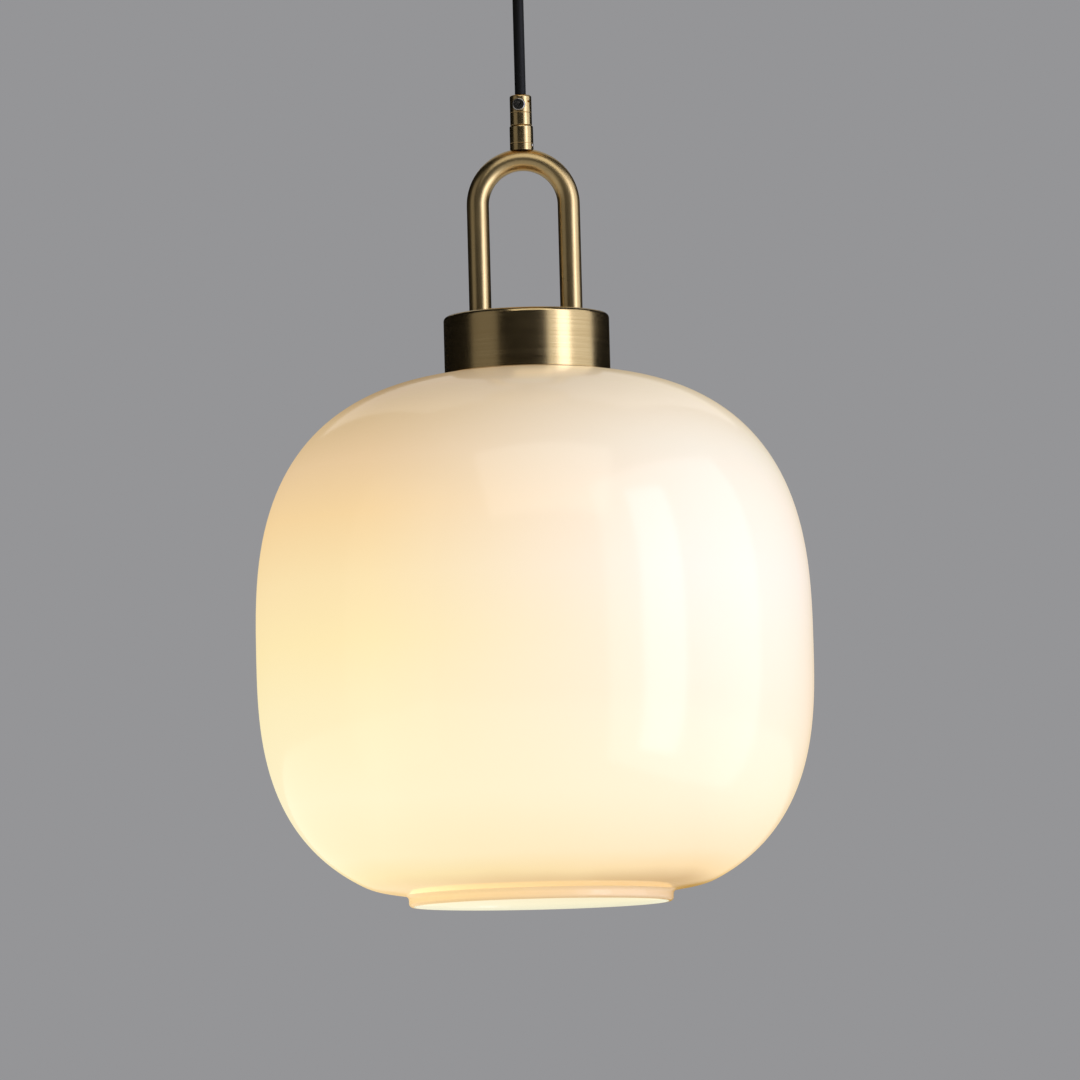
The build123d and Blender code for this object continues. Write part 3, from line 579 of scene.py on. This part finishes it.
def make_shade():
    """The opal bowl with its short collar, walls 3 mm thick, rim rounded."""
    outside = bowl(0.0, SHADE_HOLE_R, SHADE_LOW_R, BOWL_STEPS)
    bend_start = (COLLAR_R + COLLAR_BEND_R, COLLAR_TOP)
    outside += eased(outside[-1], slope_at_end(outside), bend_start, COLLAR_SLOPE, OUTER_EASE_STEPS)
    bend_centre = (COLLAR_R + COLLAR_BEND_R, COLLAR_TOP - COLLAR_BEND_R)
    outside += arc(bend_centre, COLLAR_BEND_R, 90, 180, BEND_STEPS)
    outside += arc((COLLAR_R - RIM_ROUND, RIM_ROUND), RIM_ROUND, 0, -90, RIM_STEPS)
    inside = bowl(SHADE_WALL, SHADE_HOLE_R, SHADE_LOW_R - SHADE_WALL, BOWL_STEPS)
    knee = (COLLAR_BORE_R + KNEE_OUT, KNEE_LEVEL)
    knee_middle = (COLLAR_BORE_R + KNEE_MIDDLE_OUT, KNEE_MIDDLE_LEVEL)
    inside += eased(inside[-1], slope_at_end(inside), knee, COLLAR_SLOPE, INNER_EASE_STEPS)
    inside += [knee, knee_middle, (COLLAR_BORE_R, BORE_TOP)]
    inside += arc((COLLAR_BORE_R + RIM_ROUND, RIM_ROUND), RIM_ROUND, 180, 270, RIM_STEPS)
    outline = [(r * MM, level(h)) for r, h in outside + inside[::-1]]
    split = len(outside)
    points, faces = lathe(outline, SHADE_SEGMENTS, lambda i: 0 if i < split else 1)
    slots = [materials["opal_glass"], opal_inside]
    return add_piece("opal_shade", points, faces, slots, "lamp", ["glass_shade"])


make_shade()

# ---------------------------------------------------------------- loop handle

TUBE_R = (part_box("handle")[1].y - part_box("handle")[0].y) / 2
TUBE_WALL = 1.0 * MM
TUBE_BORE_R = TUBE_R - TUBE_WALL
TUBE_SIDES = 64
LEG_STEPS = 12
ARCH_STEPS = 64
LEG_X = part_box("handle")[1].x - TUBE_R
SPRING_Z = ARCH_TOP_Z - TUBE_R - LEG_X


def make_handle():
    """The bent tube, open inside, from one leg's foot round the arch to the other's."""
    spine = []
    for i in range(LEG_STEPS):
        spine.append(((-LEG_X, CAP_TOP_Z + (SPRING_Z - CAP_TOP_Z) * i / LEG_STEPS), 180.0))
    for i in range(ARCH_STEPS + 1):
        turn = pi * (1 - i / ARCH_STEPS)
        spine.append(((LEG_X * cos(turn), SPRING_Z + LEG_X * sin(turn)), turn * 180 / pi))
    for i in range(1, LEG_STEPS + 1):
        spine.append(((LEG_X, SPRING_Z + (CAP_TOP_Z - SPRING_Z) * i / LEG_STEPS), 0.0))
    sides = TUBE_SIDES
    points = []
    for (x, z), outward in spine:
        across = Vector((cos(radians(outward)), 0, sin(radians(outward))))
        for radius in (TUBE_R, TUBE_BORE_R):
            for side in range(sides):
                angle = 2 * pi * side / sides
                offset = across * (radius * cos(angle)) + Vector((0, radius * sin(angle), 0))
                points.append((x + offset.x, offset.y, z + offset.z))
    faces = []
    ring = 2 * sides
    for step in range(len(spine) - 1):
        here, there = step * ring, (step + 1) * ring
        for side in range(sides):
            following = (side + 1) % sides
            faces.append(((here + side, here + following, there + following, there + side), 0))
            bore_here, bore_there = here + sides, there + sides
            inner = (bore_here + side, bore_there + side, bore_there + following, bore_here + following)
            faces.append((inner, 0))
    last = (len(spine) - 1) * ring
    for side in range(sides):
        following = (side + 1) % sides
        faces.append(((side, sides + side, sides + following, following), 0))
        faces.append(((last + side, last + following, last + sides + following, last + sides + side), 0))
    slots = [materials["satin_brass"]]
    return add_piece("loop_handle", points, faces, slots, "lamp", ["handle"])


make_handle()

# ---------------------------------------------------------------- finishes of the CAD nodes

# Brass nodes that aren't plain satin
OTHER_FINISHES = {
    "round_brushed_brass": ("cap", "canopy"),
    "turned_brass": ("grip_head", "grip_sleeve", "grip_coupling", "saddle", "cord_outlet", "canopy_screws"),
}


def finish_nodes():
    """Gives each CAD node the material of its slot, or its own finish."""
    chosen = {name: finish for finish, names in OTHER_FINISHES.items() for name in names}
    for name, node in nodes.items():
        node.data.materials.clear()
        node.data.materials.append(materials[chosen.get(name, slot_of[name])])


finish_nodes()
textile_cord.data.materials.append(materials["black_cord"])

# ---------------------------------------------------------------- studio

LAMP_MIDDLE = Vector((0.0, 0.0, level(150.0)))
BACKDROP = (0.30, 0.30, 0.31, 1.0)
DARK_ROOM = (0.005, 0.005, 0.005, 1.0)
FLOOR_HALF = 14.0
FLOOR_DROP = 1.8
FLOOR_GLOW = 0.29

# Each light's azimuth and elevation in degrees, distance, width and height in metres, watts and colour
LIGHTS = {
    "key": (66.0, 4.0, 1.3, 1.95, 2.2, 11.2, (0.96, 0.99, 1.12)),
    "key_core": (52.5, 4.0, 1.29, 0.42, 1.5, 3.1, (0.92, 0.95, 1.25)),
    "fill": (-61.0, 6.0, 1.6, 1.2, 2.2, 1.5, (1.0, 0.97, 0.92)),
    "top": (8.0, 46.0, 1.7, 1.5, 1.1, 4.6, (1.0, 0.99, 0.97)),
    "back": (180.0, 50.0, 1.8, 1.6, 1.6, 3.0, (1.0, 1.0, 1.0)),
}


def softbox(name, azimuth, elevation, distance, width, height, power, colour):
    """A soft area light at an azimuth to the right of the camera's side, aimed at the lamp."""
    data = bpy.data.lights.new(name, "AREA")
    data.shape = "RECTANGLE"
    data.size = width
    data.size_y = height
    data.energy = power
    data.color = colour
    light = bpy.data.objects.new(name, data)
    bpy.context.collection.objects.link(light)
    a, e = radians(azimuth), radians(elevation)
    out = Vector((sin(a) * cos(e), -cos(a) * cos(e), sin(e)))
    light.location = LAMP_MIDDLE + out * distance
    light.rotation_euler = out.to_track_quat("Z", "Y").to_euler()
    light.visible_camera = False
    return light


def studio_world():
    """Pale grey behind the object, and a dark room for what it reflects."""
    world = bpy.data.worlds.new("studio")
    bpy.context.scene.world = world
    world.use_nodes = True
    tree = world.node_tree
    tree.nodes.clear()
    seen = tree.nodes.new("ShaderNodeBackground")
    seen.inputs["Color"].default_value = BACKDROP
    reflected = tree.nodes.new("ShaderNodeBackground")
    reflected.inputs["Color"].default_value = DARK_ROOM
    path = tree.nodes.new("ShaderNodeLightPath")
    mix = tree.nodes.new("ShaderNodeMixShader")
    output = tree.nodes.new("ShaderNodeOutputWorld")
    tree.links.new(path.outputs["Is Camera Ray"], mix.inputs[0])
    tree.links.new(reflected.outputs[0], mix.inputs[1])
    tree.links.new(seen.outputs[0], mix.inputs[2])
    tree.links.new(mix.outputs[0], output.inputs[0])


def floor():
    """A plain pale floor, far below the hanging lamp."""
    mesh = bpy.data.meshes.new("floor")
    half, z = FLOOR_HALF, RIM_Z - FLOOR_DROP
    corners = [(-half, -half, z), (half, -half, z), (half, half, z), (-half, half, z)]
    mesh.from_pydata(corners, [], [(0, 1, 2, 3)])
    piece = bpy.data.objects.new("floor", mesh)
    bpy.context.collection.objects.link(piece)
    pale = moulded("floor", (0.62, 0.62, 0.61), (0.60, 0.60, 0.59), (0.6, 0.8), 400.0, 0.2)
    shader = next(node for node in pale.node_tree.nodes if node.type == "BSDF_PRINCIPLED")
    shader.inputs["Emission Color"].default_value = (1.0, 1.0, 1.0, 1.0)
    shader.inputs["Emission Strength"].default_value = FLOOR_GLOW
    mesh.materials.append(pale)
    piece.visible_diffuse = False


studio_world()
floor()
lights = {name: softbox(name, *settings) for name, settings in LIGHTS.items()}
lights["top"].visible_diffuse = False
